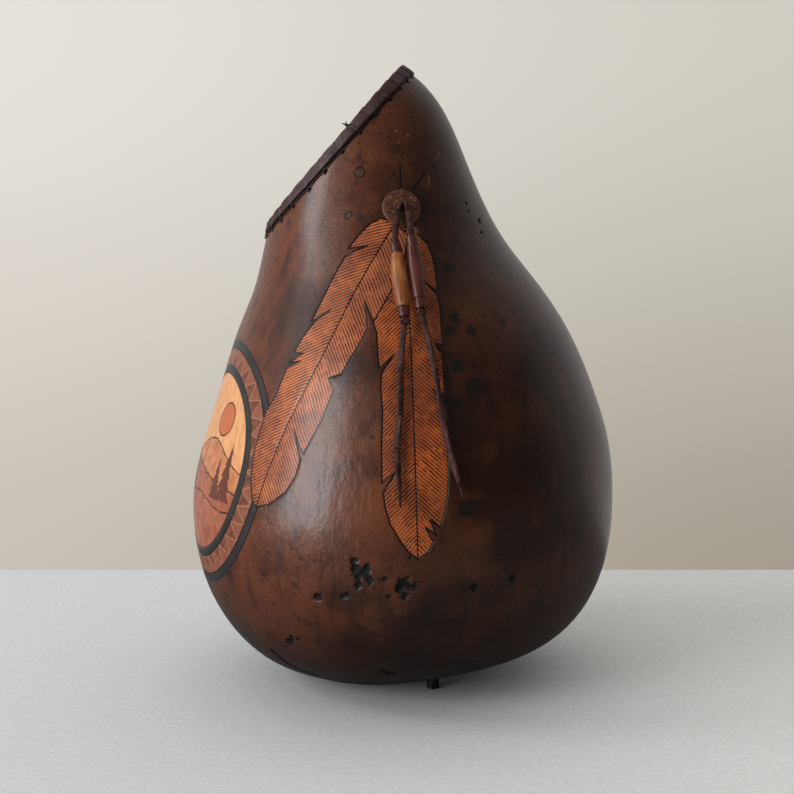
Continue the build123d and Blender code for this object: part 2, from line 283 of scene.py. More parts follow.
# Pits in the shell: a place on the skin, a radius and a depth. The stitch holes follow them, and are painted
# near black like the pits, as painted shade inside the drilled holes.
pits = [
    ((-23.3, -109.2, 86.1), 1.6, 1.2), ((-22.6, -109.0, 82.2), 2.2, 1.6),
    ((-21.3, -108.7, 78.2), 1.7, 1.3), ((-21.3, -108.5, 74.1), 1.4, 1.2),
    ((-19.3, -109.4, 80.2), 1.6, 1.3), ((-17.1, -110.1, 82.1), 1.8, 1.3),
    ((-15.9, -109.8, 76.9), 1.6, 1.2), ((-11.4, -110.4, 77.4), 0.6, 0.6),
    ((-8.8, -110.6, 77.5), 0.8, 0.8), ((-40.7, -101.5, 66.4), 1.9, 1.6),
    ((-28.0, -106.1, 68.6), 1.5, 1.2), ((-26.6, -106.5, 69.4), 1.2, 1.0),
    ((-0.3, -110.6, 76.6), 2.2, 1.6), ((-1.6, -110.4, 73.2), 2.4, 1.8),
    ((1.8, -110.5, 74.4), 1.8, 1.5), ((4.5, -110.4, 74.1), 1.6, 1.2),
    ((0.8, -109.8, 69.7), 1.5, 1.4), ((-7.0, -109.5, 69.1), 1.0, 0.9),
    ((-55.1, -82.8, 39.2), 1.9, 1.5), ((-56.3, -81.4, 36.8), 1.2, 1.2),
    ((-54.0, -84.4, 41.8), 1.3, 1.2), ((-51.4, -86.7, 41.7), 1.0, 0.9),
    ((-7.0, -86.3, 24.1), 1.8, 1.4), ((-4.8, -86.2, 24.1), 1.3, 1.1),
    ((2.6, -111.6, 88.1), 0.9, 0.7), ((32.9, -105.1, 72.6), 1.5, 0.7),
    ((50.7, -98.1, 75.0), 1.4, 0.6), ((31.4, -32.8, 249.3), 0.9, 0.7),
    ((32.2, -35.0, 245.0), 0.7, 0.6), ((38.1, -30.7, 240.4), 1.2, 0.9),
    ((39.0, -34.8, 234.8), 0.8, 0.7),
]
for stitch in range(stitch_count):
    hole = rim_point(stitch_first + stitch_step * stitch, hole_middle, edge_up, gourd_radius)
    pits.append((tuple(hole), 0.75, 0.9))
crack = [
    (-65.7, -65.6, 29.1), (-61.0, -63.6, 24.2), (-56.4, -61.6, 19.7), (-49.4, -61.8, 16.6),
    (-43.8, -63.7, 15.7),
]


def pitted(points):
    """How deep each point lies in a pit or the crack, from 0 at its edge, and its share of the whole."""
    ragged = np.array([noise.noise(Vector(point) * 0.45) for point in points])
    depth, share = np.zeros(len(points)), np.zeros(len(points))
    for place, radius, deep in pits:
        away = np.linalg.norm(points - np.array(place), axis=1) * (1 + 0.8 * ragged)
        filled = np.clip(1.25 - away / (radius * 1.1), 0, 1)
        depth = np.maximum(depth, 0.7 * deep * filled**0.7)
        share = np.maximum(share, filled)
    for start, end in zip(crack, crack[1:]):
        start, run = np.array(start), np.array(end) - np.array(start)
        along = np.clip((points - start) @ run / (run @ run), 0, 1)
        away = np.linalg.norm(points - start - along[:, None] * run, axis=1) * (1 + 0.5 * ragged)
        filled = np.clip(1.3 - away / 1.25, 0, 1)
        depth = np.maximum(depth, 1.1 * filled)
        share = np.maximum(share, filled)
    return depth, share


def worked(middles):
    """Which face middles lie where the skin is carved, drilled or pitted."""
    feathers = np.maximum(first_feather.inside(middles), second_feather.inside(middles)) > -4.5
    medallion = np.linalg.norm(middles - medallion_middle, axis=1) < 67
    holes = np.abs((middles - np.array(hole_middle)) @ np.array(edge_up)) < 2.6
    spots = np.array([place for place, _, _ in pits] + crack)
    pitted_skin = np.linalg.norm(middles[:, None] - spots[None], axis=2).min(axis=1) < 4.8
    return feathers | medallion | holes | pitted_skin


# The outer skin, finer where it is worked, and the hollow, joined over the sawn edge.
gourd_shape = turned(up_the_side(gourd_radius, 4, 321, 4.4), 150)
leaned_and_sawn(gourd_shape)
finer(gourd_shape, worked, 5)

hollow_shape = turned(up_the_side(hollow_radius, 10, 314, 6), 72)
leaned_and_sawn(hollow_shape)
for face in hollow_shape.faces:
    face.material_index = 1
gourd_shape = joined([gourd_shape, hollow_shape])
lips = [edge for edge in gourd_shape.edges if edge.is_boundary]
sawn_edge = bmesh.ops.bridge_loops(gourd_shape, edges=lips)
for face in sawn_edge["faces"]:
    face.material_index = 1
bmesh.ops.recalc_face_normals(gourd_shape, faces=gourd_shape.faces)
gourd = made("gourd", gourd_shape)

# The skin's points are put back on the smooth form, then pressed in by what is carved there.
coordinates = np.empty(len(gourd.data.vertices) * 3)
gourd.data.vertices.foreach_get("co", coordinates)
points = coordinates.reshape(-1, 3) * 1000
sideways = np.hypot(points[:, 0] - gourd_lean(points[:, 2]), points[:, 1])
skin = (sideways > gourd_radius(points[:, 2]) - 2.5) & (points[:, 2] > 4.5)
points = points[skin]
heights = points[:, 2]
round_x, round_y = points[:, 0] - gourd_lean(heights), points[:, 1]
sideways = np.hypot(round_x, round_y)
round_x, round_y = round_x / sideways, round_y / sideways
widening = (gourd_radius(heights + 0.2) - gourd_radius(heights - 0.2)) / 0.4
leaning = (gourd_lean(heights + 0.2) - gourd_lean(heights - 0.2)) / 0.4
outward = np.stack([round_x, round_y, -widening - leaning * round_x], axis=1)
outward /= np.linalg.norm(outward, axis=1)[:, None]
points[:, 0] = gourd_lean(heights) + gourd_radius(heights) * round_x
points[:, 1] = gourd_radius(heights) * round_y


def groove(away, half_width, depth):
    """The depth of a burned line at a distance from its middle."""
    return depth * np.exp(-((away / half_width) ** 2))


# Burned lines, and the beds scraped between them, in millimetres.
feather_line, outline_depth, shaft_depth, feather_depth = 0.65, 0.16, 0.14, 0.15
ring_line, ring_depth, border_depth, picture_depth = 0.85, 0.2, 0.12, 0.22

first_inside = first_feather.inside(points)
second_inside = second_feather.inside(points)
first_along, _, first_across = first_feather.places(points)
second_along, _, second_across = second_feather.places(points)
lumps = np.array([noise.noise(Vector(point) * 0.035) for point in points])
dimples = np.array([noise.noise(Vector(point) * 0.12 + Vector((9, 9, 9))) for point in points])
depth = 0.22 * (1 + lumps) + 0.06 * (1 + dimples)
on_first = first_inside > 0
on_second = ~on_first & (second_inside > 0)
off_first = first_inside < 0
feather_bed = np.clip(np.where(on_first, first_inside, second_inside) / 0.9, 0, 1)
depth += feather_depth * feather_bed + groove(first_inside, feather_line, outline_depth)
depth += off_first * groove(second_inside, feather_line, outline_depth)
depth += on_first * groove(first_across, feather_line, shaft_depth)
depth += on_second * groove(second_across, feather_line, shaft_depth)
from_middle = np.linalg.norm(points - medallion_middle, axis=1)
medallion_depth = border_depth * np.clip((medallion_rings[0] - from_middle) / 0.8, 0, 1)
medallion_depth += picture_depth * np.clip((medallion_rings[3] - from_middle) / 0.8, 0, 1)
for ring in medallion_rings:
    medallion_depth += groove(from_middle - ring, ring_line, ring_depth)
depth += off_first * medallion_depth
pit_depth, pit_share = pitted(points)
depth += pit_depth
points -= outward * depth[:, None]
coordinates = coordinates.reshape(-1, 3)
coordinates[skin] = points / 1000
gourd.data.vertices.foreach_set("co", coordinates.ravel())


def marked(piece, name, chosen, values, rest=0):
    """A number kept at each of a piece's points, for its material to read."""
    whole = np.full(len(piece.data.vertices), float(rest))
    whole[chosen] = values
    attribute = piece.data.attributes.new(name, "FLOAT", "POINT")
    attribute.data.foreach_set("value", whole)


for name, values, rest in (
    ("first_inside", first_inside, -9), ("first_along", first_along, 0),
    ("first_across", first_across, 0), ("second_inside", second_inside, -9),
    ("second_along", second_along, 0), ("second_across", second_across, 0),
    ("pit", pit_share, 0),
):
    marked(gourd, name, skin, values, rest)
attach(gourd, "gourd")
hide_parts("gourd_shell")


def colour(red, green, blue):
    """A colour as it looks, 0 to 255 each, as Blender's linear colour."""
    parts = [part / 255 for part in (red, green, blue)]
    linear = [part / 12.92 if part <= 0.04045 else ((part + 0.055) / 1.055) ** 2.4 for part in parts]
    return (*linear, 1.0)


class Value:
    """A number, colour or place that varies over a surface. Arithmetic on it adds Math nodes."""

    def __init__(self, look, socket):
        self.look, self.socket = look, socket

    def __add__(self, other):
        return self.look.maths("ADD", self, other)

    def __radd__(self, other):
        return self.look.maths("ADD", other, self)

    def __sub__(self, other):
        return self.look.maths("SUBTRACT", self, other)

    def __rsub__(self, other):
        return self.look.maths("SUBTRACT", other, self)

    def __mul__(self, other):
        return self.look.maths("MULTIPLY", self, other)

    def __rmul__(self, other):
        return self.look.maths("MULTIPLY", other, self)

    def __truediv__(self, other):
        return self.look.maths("DIVIDE", self, other)

    def __abs__(self):
        return self.look.maths("ABSOLUTE", self)


class Look:
    """Values worked out by a tree of shader nodes."""

    def __init__(self, tree):
        self.tree = tree

    def node(self, kind, settings=None, values=None, out=0):
        """One output of a new node, after its settings, and its sockets' values or links."""
        node = self.tree.nodes.new(kind)
        for name, setting in (settings or {}).items():
            setattr(node, name, setting)
        for name, value in (values or {}).items():
            if isinstance(value, Value):
                self.tree.links.new(value.socket, node.inputs[name])
            else:
                node.inputs[name].default_value = value
        return Value(self, node.outputs[out])

    def maths(self, operation, first, second=0.0):
        """The answer of a Math node."""
        return self.node("ShaderNodeMath", {"operation": operation}, {0: first, 1: second})

    def vectors(self, operation, first, second, out="Vector"):
        """The answer of a Vector Math node on two places."""
        return self.node("ShaderNodeVectorMath", {"operation": operation}, {0: first, 1: second}, out)

    def along_axis(self, place, axis):
        """How far a place lies along X, Y or Z."""
        return self.node("ShaderNodeSeparateXYZ", values={0: place}, out=axis)

    def least(self, first, *others):
        """The least of some values."""
        for other in others:
            first = self.maths("MINIMUM", first, other)
        return first

    def most(self, first, *others):
        """The most of some values."""
        for other in others:
            first = self.maths("MAXIMUM", first, other)
        return first

    def rising(self, value, low, high):
        """0 where the value is at low, 1 at high, and smooth between them."""
        wanted = {0: value, 1: low, 2: high, 3: 0.0, 4: 1.0}
        return self.node("ShaderNodeMapRange", {"interpolation_type": "SMOOTHSTEP"}, wanted)

    def line(self, away, half_width):
        """1 on a line and 0 off it, by how far from its middle a place is."""
        return 1 - self.rising(abs(away), half_width * 0.7, half_width * 1.3)

    def mix(self, share, first, second):
        """Two colours mixed by a share of the second."""
        wanted = {0: share, 6: first, 7: second}
        return self.node("ShaderNodeMix", {"data_type": "RGBA"}, wanted, out=2)


class Finish(Look):
    """A material whose look is worked out from places on the piece."""

    def __init__(self, name, coat=0.0, coat_roughness=0.2, specular=0.5):
        self.material = bpy.data.materials.new(name)
        self.material.use_nodes = True
        super().__init__(self.material.node_tree)
        self.shader = self.tree.nodes["Principled BSDF"]
        self.shader.inputs["Coat Weight"].default_value = coat
        self.shader.inputs["Coat Roughness"].default_value = coat_roughness
        self.shader.inputs["Specular IOR Level"].default_value = specular
        self.place = self.node("ShaderNodeTexCoord", out="Object")

    def kept(self, name):
        """A number kept at the piece's points."""
        return self.node("ShaderNodeAttribute", {"attribute_name": name}, out="Fac")

    def grain(self, size, detail=3.0, stretch=(1, 1, 1), roughness=0.55):
        """Cloudy noise with features of a size in millimetres, drawn out by stretch."""
        scale = tuple(1 / part for part in stretch)
        place = self.node("ShaderNodeMapping", values={"Vector": self.place, "Scale": scale})
        wanted = {"Vector": place, "Scale": 1000 / size, "Detail": detail, "Roughness": roughness}
        return self.node("ShaderNodeTexNoise", values=wanted)

    def away(self, place):
        """How far from a place in millimetres each point lies."""
        metres = tuple(part / 1000 for part in place)
        return self.vectors("DISTANCE", self.place, metres, "Value") * 1000

    def away_from_stroke(self, start, end):
        """How far from a straight stroke between two places in millimetres each point lies."""
        start, run = Vector(start) / 1000, (Vector(end) - Vector(start)) / 1000
        step = self.vectors("SUBTRACT", self.place, tuple(start))
        share = self.vectors("DOT_PRODUCT", step, tuple(run), "Value") / run.dot(run)
        share = self.most(self.least(share, 1.0), 0.0)
        wanted = {0: tuple(run), "Scale": share}
        reached = self.node("ShaderNodeVectorMath", {"operation": "SCALE"}, wanted, "Vector")
        return self.vectors("DISTANCE", step, reached, "Value") * 1000

    def clouded(self, base, cloud, low, high, share, tone):
        """A base colour with a share of another where a cloudy value rises from low to high."""
        return self.mix(self.rising(cloud, low, high) * share, base, colour(*tone))

    def paint(self, base, roughness, raised=None, raise_by=0.3):
        """The colour, roughness and fine relief, in millimetres, given to the surface."""
        for name, value in (("Base Color", base), ("Roughness", roughness)):
            if isinstance(value, Value):
                self.tree.links.new(value.socket, self.shader.inputs[name])
            else:
                self.shader.inputs[name].default_value = value
        if raised is not None:
            relief = self.node("ShaderNodeBump", values={"Height": raised, "Distance": raise_by / 1000})
            self.tree.links.new(relief.socket, self.shader.inputs["Normal"])

    def onto(self, piece):
        """This material put on a piece, in place of what it had."""
        piece.data.materials.clear()
        piece.data.materials.append(self.material)


# The dye: a warm brown on the left and near black on the right, partly dye rubbed back and partly painted
# shade of the side away from the windows; darker still at the bottom, as painted shade under the belly.
dyed_skin = Finish("dyed_gourd_skin", coat_roughness=0.2, specular=0.3)
clouds = dyed_skin.grain(60, 4)
mottle = dyed_skin.grain(17, 5)
smoke = dyed_skin.grain(30, 5, stretch=(1, 1, 1.8))
streaks = dyed_skin.grain(9, 4, stretch=(1, 1, 4.5))
smudges = dyed_skin.grain(8, 5, roughness=0.65)
flecks = dyed_skin.grain(2.6, 3)
spread = dyed_skin.along_axis(dyed_skin.place, "X")
upright = dyed_skin.along_axis(dyed_skin.place, "Z")
# Partly painted shade: besides darker dye, the skin is painted darker towards the right, away from the
# windows.
towards_shaded_right = dyed_skin.rising(spread, -0.045, 0.016)
rubbed_and_lit_left = dyed_skin.clouded(colour(62, 30, 18), clouds, 0.36, 0.6, 1, (98, 50, 29))
dark_and_shaded_right = dyed_skin.clouded(colour(42, 20, 12), clouds, 0.4, 0.64, 1, (66, 32, 16))
dye = dyed_skin.mix(towards_shaded_right, rubbed_and_lit_left, dark_and_shaded_right)
for cloud, low, high, share, tone in (
    (mottle, 0.5, 0.66, 0.6 - 0.42 * towards_shaded_right, (104, 52, 24)),
    (smoke, 0.5, 0.64, 0.55, (26, 16, 12)),
    (streaks, 0.53, 0.72, 0.55, (24, 13, 9)),
    (smudges, 0.55, 0.68, 0.55, (28, 20, 16)),
    (flecks, 0.54, 0.72, 0.5, (22, 12, 9)),
):
    dye = dyed_skin.clouded(dye, cloud, low, high, share, tone)
warm_patch = 1 - dyed_skin.rising(dyed_skin.away((-22, -104, 128)), 18, 42)
dye = dyed_skin.clouded(dye, mottle, 0.3, 0.6, warm_patch * 0.6, (112, 60, 34))
# Painted shade under the belly: the skin is painted near black towards the bottom.
dye = dyed_skin.clouded(dye, upright, 0.085, 0.016, 0.8, (16, 6, 4))

# Stains of black dye, two filled scars with a dark edge, and pale nicks and a thin scratch.
stains = [
    ((21.9, -61.9, 218.8), 3.2), ((24.1, -76.7, 195.5), 2.8), ((21.6, -80.8, 189.7), 2.4),
    ((32.1, -77.3, 189.4), 2.6), ((25.2, -87.5, 173.9), 2.8), ((33.1, -89.2, 163.8), 4.6),
    ((24.1, -94.2, 157.9), 2.8), ((72.6, -70.2, 149.3), 2.0), ((28.4, -106.6, 110.4), 4.2),
    ((33.6, -104.8, 112.4), 2.8), ((51.0, -97.9, 74.4), 2.0), ((48.1, -66.1, 192.7), 1.4),
    ((32.9, -105.1, 72.6), 1.8), ((14.9, -37.8, 267.3), 2.0), ((37.9, -99.6, 129.7), 0.9),
    ((-14.8, -100.6, 143.0), 1.0), ((-9.6, -53.7, 250.7), 1.6),
]
scars = [((-21.5, -46.9, 264.3), 2.4), ((-26.9, -54.5, 243.8), 2.0)]
nicks = [(-3.8, -38.9, 284.2), (0.1, -39.4, 280.3), (-2.3, -40.7, 278.8), (2.1, -37.9, 282.3)]
scratch = [(18.6, -30.8, 274.3), (14.8, -36.6, 270.2), (12.5, -41.2, 264.4), (12.3, -44.2, 258.0)]
blot_edge = (dyed_skin.grain(3.5, 4) - 0.5) * 7
from_stain = dyed_skin.least(*[dyed_skin.away(place) + blot_edge - radius for place, radius in stains])
dye = dyed_skin.clouded(dye, from_stain, 0.9, -0.6, 0.85, (20, 20, 16))
for place, radius in scars:
    from_scar = dyed_skin.away(place) + blot_edge * 0.7 - radius
    dye = dyed_skin.clouded(dye, from_scar, 0.3, -0.3, 0.55, (58, 54, 46))
    dye = dyed_skin.mix(dyed_skin.line(from_scar, 0.4) * 0.85, dye, colour(12, 10, 9))
from_nick = dyed_skin.least(*[dyed_skin.away(place) for place in nicks]) + blot_edge * 0.2
dye = dyed_skin.clouded(dye, from_nick, 0.7, 0.3, 0.6, (150, 112, 84))
strokes = [dyed_skin.away_from_stroke(start, end) for start, end in zip(scratch, scratch[1:])]
dye = dyed_skin.clouded(dye, dyed_skin.least(*strokes), 0.45, 0.25, 0.3, (140, 112, 92))


def vane(inside, along, across, ground, scraped, burned):
    """A feather's colour, its outline and shaft, and its barbs, which run out towards the tip."""
    barb_count = (along - abs(across) * 0.9) / 1.95 + dyed_skin.grain(14, 3) * 1.3
    part = dyed_skin.maths("FRACT", barb_count)
    thick = 0.1 + 0.16 * dyed_skin.rising(dyed_skin.grain(7, 3), 0.35, 0.65)
    barb = 1 - dyed_skin.rising(abs(part - 0.5) - thick, -0.07, 0.07)
    broken = dyed_skin.rising(dyed_skin.grain(3, 3), 0.34, 0.46)
    colours = dyed_skin.clouded(colour(*ground), dyed_skin.grain(22, 3), 0.38, 0.66, 1, scraped)
    colours = dyed_skin.mix(barb * broken * 0.9, colours, colour(*burned))
    return colours, dyed_skin.most(dyed_skin.line(inside, 0.36), dyed_skin.line(across, 0.32)), barb


first_inside_here = dyed_skin.kept("first_inside")
second_inside_here = dyed_skin.kept("second_inside")
first_colour, first_lines, first_barbs = vane(
    first_inside_here, dyed_skin.kept("first_along"), dyed_skin.kept("first_across"),
    (154, 80, 42), (188, 102, 54), (54, 22, 13),
)
second_colour, second_lines, second_barbs = vane(
    second_inside_here, dyed_skin.kept("second_along"), dyed_skin.kept("second_across"),
    (138, 64, 22), (170, 82, 30), (42, 17, 9),
)
first_bed = dyed_skin.rising(first_inside_here, -0.1, 0.1)
second_bed = dyed_skin.rising(second_inside_here, -0.1, 0.1) * (1 - first_bed)
outside_first = 1 - dyed_skin.rising(first_inside_here, -0.1, 0.3)
black_burn = colour(9, 7, 6)

# The medallion's border: triangles scraped and hatched between two charcoal bands.
from_there = dyed_skin.vectors("SUBTRACT", dyed_skin.place, tuple(medallion_middle / 1000))


def reach(way):
    """How far a place lies from the medallion's middle along a way, in millimetres."""
    return dyed_skin.vectors("DOT_PRODUCT", from_there, tuple(way), "Value") * 1000


from_centre = dyed_skin.away(medallion_middle)
rightwards, upwards = reach(medallion_right), reach(medallion_up)
medallion_bed = (1 - dyed_skin.rising(from_centre, 62.6, 63.0)) * outside_first

triangles = 34
turn_round = dyed_skin.maths("ARCTAN2", upwards, rightwards) * (triangles / (2 * math.pi)) + 100
saw = abs(dyed_skin.maths("FRACT", turn_round) - 0.5) * 2
rise = (from_centre - medallion_rings[2]) / (medallion_rings[1] - medallion_rings[2])
in_triangle = dyed_skin.rising(saw - rise, -0.05, 0.05)
hatch = dyed_skin.rising(dyed_skin.grain(1.7, 3, stretch=(1, 1, 2)), 0.42, 0.62)
border = dyed_skin.mix(hatch * 0.5, colour(134, 76, 54), colour(106, 54, 37))
border = dyed_skin.mix(in_triangle * (0.25 + 0.45 * hatch), border, colour(72, 34, 23))
border = dyed_skin.mix(dyed_skin.line(saw - rise, 0.07) * 0.75, border, colour(166, 108, 80))

# Its landscape, from the sky and sun forwards: hills one before another, conifers and tufts.
wood_lines = dyed_skin.grain(2.4, 4, stretch=(1, 1, 9))
picture = dyed_skin.clouded(colour(218, 156, 104), wood_lines, 0.42, 0.62, 0.55, (184, 120, 74))
sun_away = dyed_skin.away(Vector(medallion_middle) + medallion_right * 18 + medallion_up * 24)
picture = dyed_skin.clouded(picture, sun_away, 9.1, 8.8, 1, (184, 98, 54))
picture = dyed_skin.mix(dyed_skin.line(sun_away - 9, 0.35), picture, black_burn)
ragged_edge = dyed_skin.grain(3.5, 3) * 2.6


def hills(behind, height, swell, length, shift, tone, shade):
    """A range of hills over what is behind it, with a burned line along its top."""
    crest = height + swell * dyed_skin.maths("SINE", rightwards / length + shift)
    above = upwards - crest - ragged_edge
    ground = dyed_skin.clouded(colour(*tone), dyed_skin.grain(6, 4), 0.4, 0.65, 1, shade)
    covered = dyed_skin.mix(1 - dyed_skin.rising(above, -0.15, 0.15), behind, ground)
    return dyed_skin.mix(dyed_skin.line(above, 0.34), covered, black_burn)


def conifer(foot_right, foot_up, height, half_width):
    """The share of a place that a conifer of five tiers covers."""
    climb = (upwards - foot_up) / height
    ragged = 0.62 + 0.5 * (1 - dyed_skin.maths("FRACT", climb * 5))
    wide = (1 - climb) * ragged * half_width
    away = abs(rightwards - foot_right + (ragged_edge - 1.3) * 0.25)
    between = dyed_skin.rising(climb, 0, 0.02) * (1 - dyed_skin.rising(climb, 0.97, 1))
    return between * (1 - dyed_skin.rising(away - wide, -0.2, 0.2))


picture = hills(picture, 6, 5.5, 11, 0.6, (192, 122, 80), (166, 98, 62))
picture = hills(picture, -6, 4, 17, 2.6, (164, 92, 62), (140, 74, 49))
for tree in ((-25, -14, 33, 7.5), (-14, -18, 25, 6), (24, -16, 22, 5.5), (33, -15, 30, 6.5)):
    picture = dyed_skin.mix(conifer(*tree), picture, colour(94, 46, 31))
picture = hills(picture, -19, 2, 9, 1.2, (160, 90, 63), (136, 70, 48))
tufts = dyed_skin.rising(dyed_skin.grain(2.6, 3, stretch=(0.6, 1, 1.6)), 0.62, 0.68)
tufts = tufts * dyed_skin.rising(dyed_skin.grain(16, 2), 0.45, 0.6)
tufts = tufts * (1 - dyed_skin.rising(upwards, -24, -20))
picture = dyed_skin.mix(tufts * 0.85, picture, colour(46, 26, 20))

medallion = dyed_skin.clouded(colour(37, 33, 31), mottle, 0.4, 0.7, 1, (50, 45, 42))
charcoal = medallion
for edge, soft, filling in ((58.6, 0.2, border), (49.5, 0.2, charcoal), (45.65, 0.15, picture)):
    filled = 1 - dyed_skin.rising(from_centre, edge - soft, edge + soft)
    medallion = dyed_skin.mix(filled, medallion, filling)
ring_lines = dyed_skin.most(*[dyed_skin.line(from_centre - ring, 0.4) for ring in medallion_rings])
ring_lines = ring_lines * outside_first

# All of it on the skin: dye, medallion, the feathers, then every burned line, the black-filled pits and the
# painted shade in the stitch holes.
skin_colour = dyed_skin.mix(medallion_bed, dye, medallion)
skin_colour = dyed_skin.mix(second_bed, skin_colour, second_colour)
skin_colour = dyed_skin.mix(first_bed, skin_colour, first_colour)
first_burned = first_lines * dyed_skin.rising(first_inside_here, -0.8, -0.5)
second_burned = second_lines * dyed_skin.rising(second_inside_here, -0.8, -0.5)
quills = dyed_skin.least(
    dyed_skin.away_from_stroke((-1.7, -45.2, 267.8), (-1.4, -49.8, 257.0)),
    dyed_skin.away_from_stroke((10.0, -42.6, 263.8), (4.3, -49.1, 255.2)),
)
quill_lines = 1 - dyed_skin.rising(quills, 0.4, 0.65)
behind_first = dyed_skin.most(ring_lines, second_burned) * outside_first
burned = dyed_skin.most(behind_first, first_burned, quill_lines)
skin_colour = dyed_skin.mix(burned, skin_colour, black_burn)
# The pits and the crack are filled near black; at the stitch holes the same near black is painted shade
# inside the holes.
pit_here = dyed_skin.kept("pit") + blot_edge * 0.035
pit_fill_and_hole_shade = dyed_skin.rising(pit_here, 0.08, 0.3)
skin_colour = dyed_skin.mix(pit_fill_and_hole_shade, skin_colour, colour(10, 9, 8))
carved = dyed_skin.most(first_bed, second_bed, medallion_bed)
creased_side = (1 - dyed_skin.rising(spread, -0.045, 0.005)) * dyed_skin.rising(upright, 0.04, 0.07)
creased_side = creased_side * (1 - dyed_skin.rising(upright, 0.13, 0.18))
wrinkles = dyed_skin.grain(4.5, 4, stretch=(1, 1, 1.9)) * (0.3 + 1.1 * creased_side)
fine = dyed_skin.grain(1.6, 3)
relief = wrinkles * (1 - carved) + fine * 0.2
relief = relief - dyed_skin.most(first_barbs * first_bed, second_barbs * second_bed) * 0.35
relief = relief - burned * 0.2
dulled = 1 - dyed_skin.rising(dyed_skin.away((-50, -66, 188)), 14, 44)
gloss = 0.3 + 0.12 * mottle + carved * 0.1 + pit_fill_and_hole_shade * 0.3 + dulled * (1 - carved) * 0.22
lacquer = 0.34 * (1 - pit_fill_and_hole_shade) * (1 - 0.75 * dulled)
dyed_skin.tree.links.new(lacquer.socket, dyed_skin.shader.inputs["Coat Weight"])
dyed_skin.paint(skin_colour, gloss, relief, raise_by=0.55)

scraped_inside = Finish("scraped_inside")
pulp = scraped_inside.grain(9, 5, stretch=(1, 1, 2.5))
fibres = scraped_inside.grain(1.8, 4, stretch=(1, 1, 5))
inside_colour = scraped_inside.clouded(colour(70, 44, 28), pulp, 0.38, 0.66, 1, (122, 86, 56))
inside_colour = scraped_inside.clouded(inside_colour, fibres, 0.55, 0.7, 0.5, (48, 30, 20))
scraped_inside.paint(inside_colour, 0.85, fibres + pulp, raise_by=0.5)
# The skin's faces take the first material, and the hollow's and the sawn edge's the second.
for finish in (dyed_skin, scraped_inside):
    gourd.data.materials.append(finish.material)

# ---- feet: three short pegs of smooth black rubber glued into sockets in the bottom ----
# They keep the round bottom from rocking, and are a little scuffed.

foot_rubber = Finish("black_foot_rubber", coat=0.3, coat_roughness=0.15)
scuffs = foot_rubber.grain(2.5, 4)
foot_colour = foot_rubber.clouded(colour(20, 18, 17), scuffs, 0.56, 0.7, 0.5, (58, 50, 44))
foot_rubber.paint(foot_colour, 0.3 + 0.3 * foot_rubber.rising(scuffs, 0.56, 0.7), scuffs, raise_by=0.1)
for name in ("foot_front", "foot_right", "foot_left"):
    foot_rubber.onto(bpy.data.objects[name])

# ---- rim leather: a strip of thin hide folded over the sawn edge, put on wet and pulled tight ----
# The whip stitches draw it in, so it puffs up between them, and it is creased and worn beside them.


def bridged(rings, closed=False):
    """A skin over rings of places, one after another, joined to the first or closed at its ends."""
    shape = bmesh.new()
    loops = []
    for ring in rings:
        circle = bmesh.ops.create_circle(shape, segments=len(ring), radius=1)["verts"]
        for vertex, place in zip(circle, ring):
            vertex.co = place
        loops.append(list({edge for vertex in circle for edge in vertex.link_edges}))
    ends = [] if closed else loops[0] + loops[-1]
    for before, after in zip(loops, loops[1:] + loops[:1] if closed else loops[1:]):
        bmesh.ops.bridge_loops(shape, edges=before + after)
    if ends:
        bmesh.ops.holes_fill(shape, edges=ends)
    bmesh.ops.recalc_face_normals(shape, faces=shape.faces)
    return shape


def wall_corners(turn):
    """The wall's places under the leather: low and top outside, then top and low inside."""
    return (
        rim_point(turn, edge_middle, edge_up, gourd_radius),
        rim_point(turn, mouth_middle, mouth_up, gourd_radius),
        rim_point(turn, mouth_middle, mouth_up, hollow_radius),
        rim_point(turn, edge_middle, edge_up, hollow_radius),
    )


def pulled_thin(turn):
    """The share of its thickness that the leather keeps: least at the mouth's low and high ends."""
    return 1 - 0.3 * abs(math.cos(math.radians(turn))) ** 5


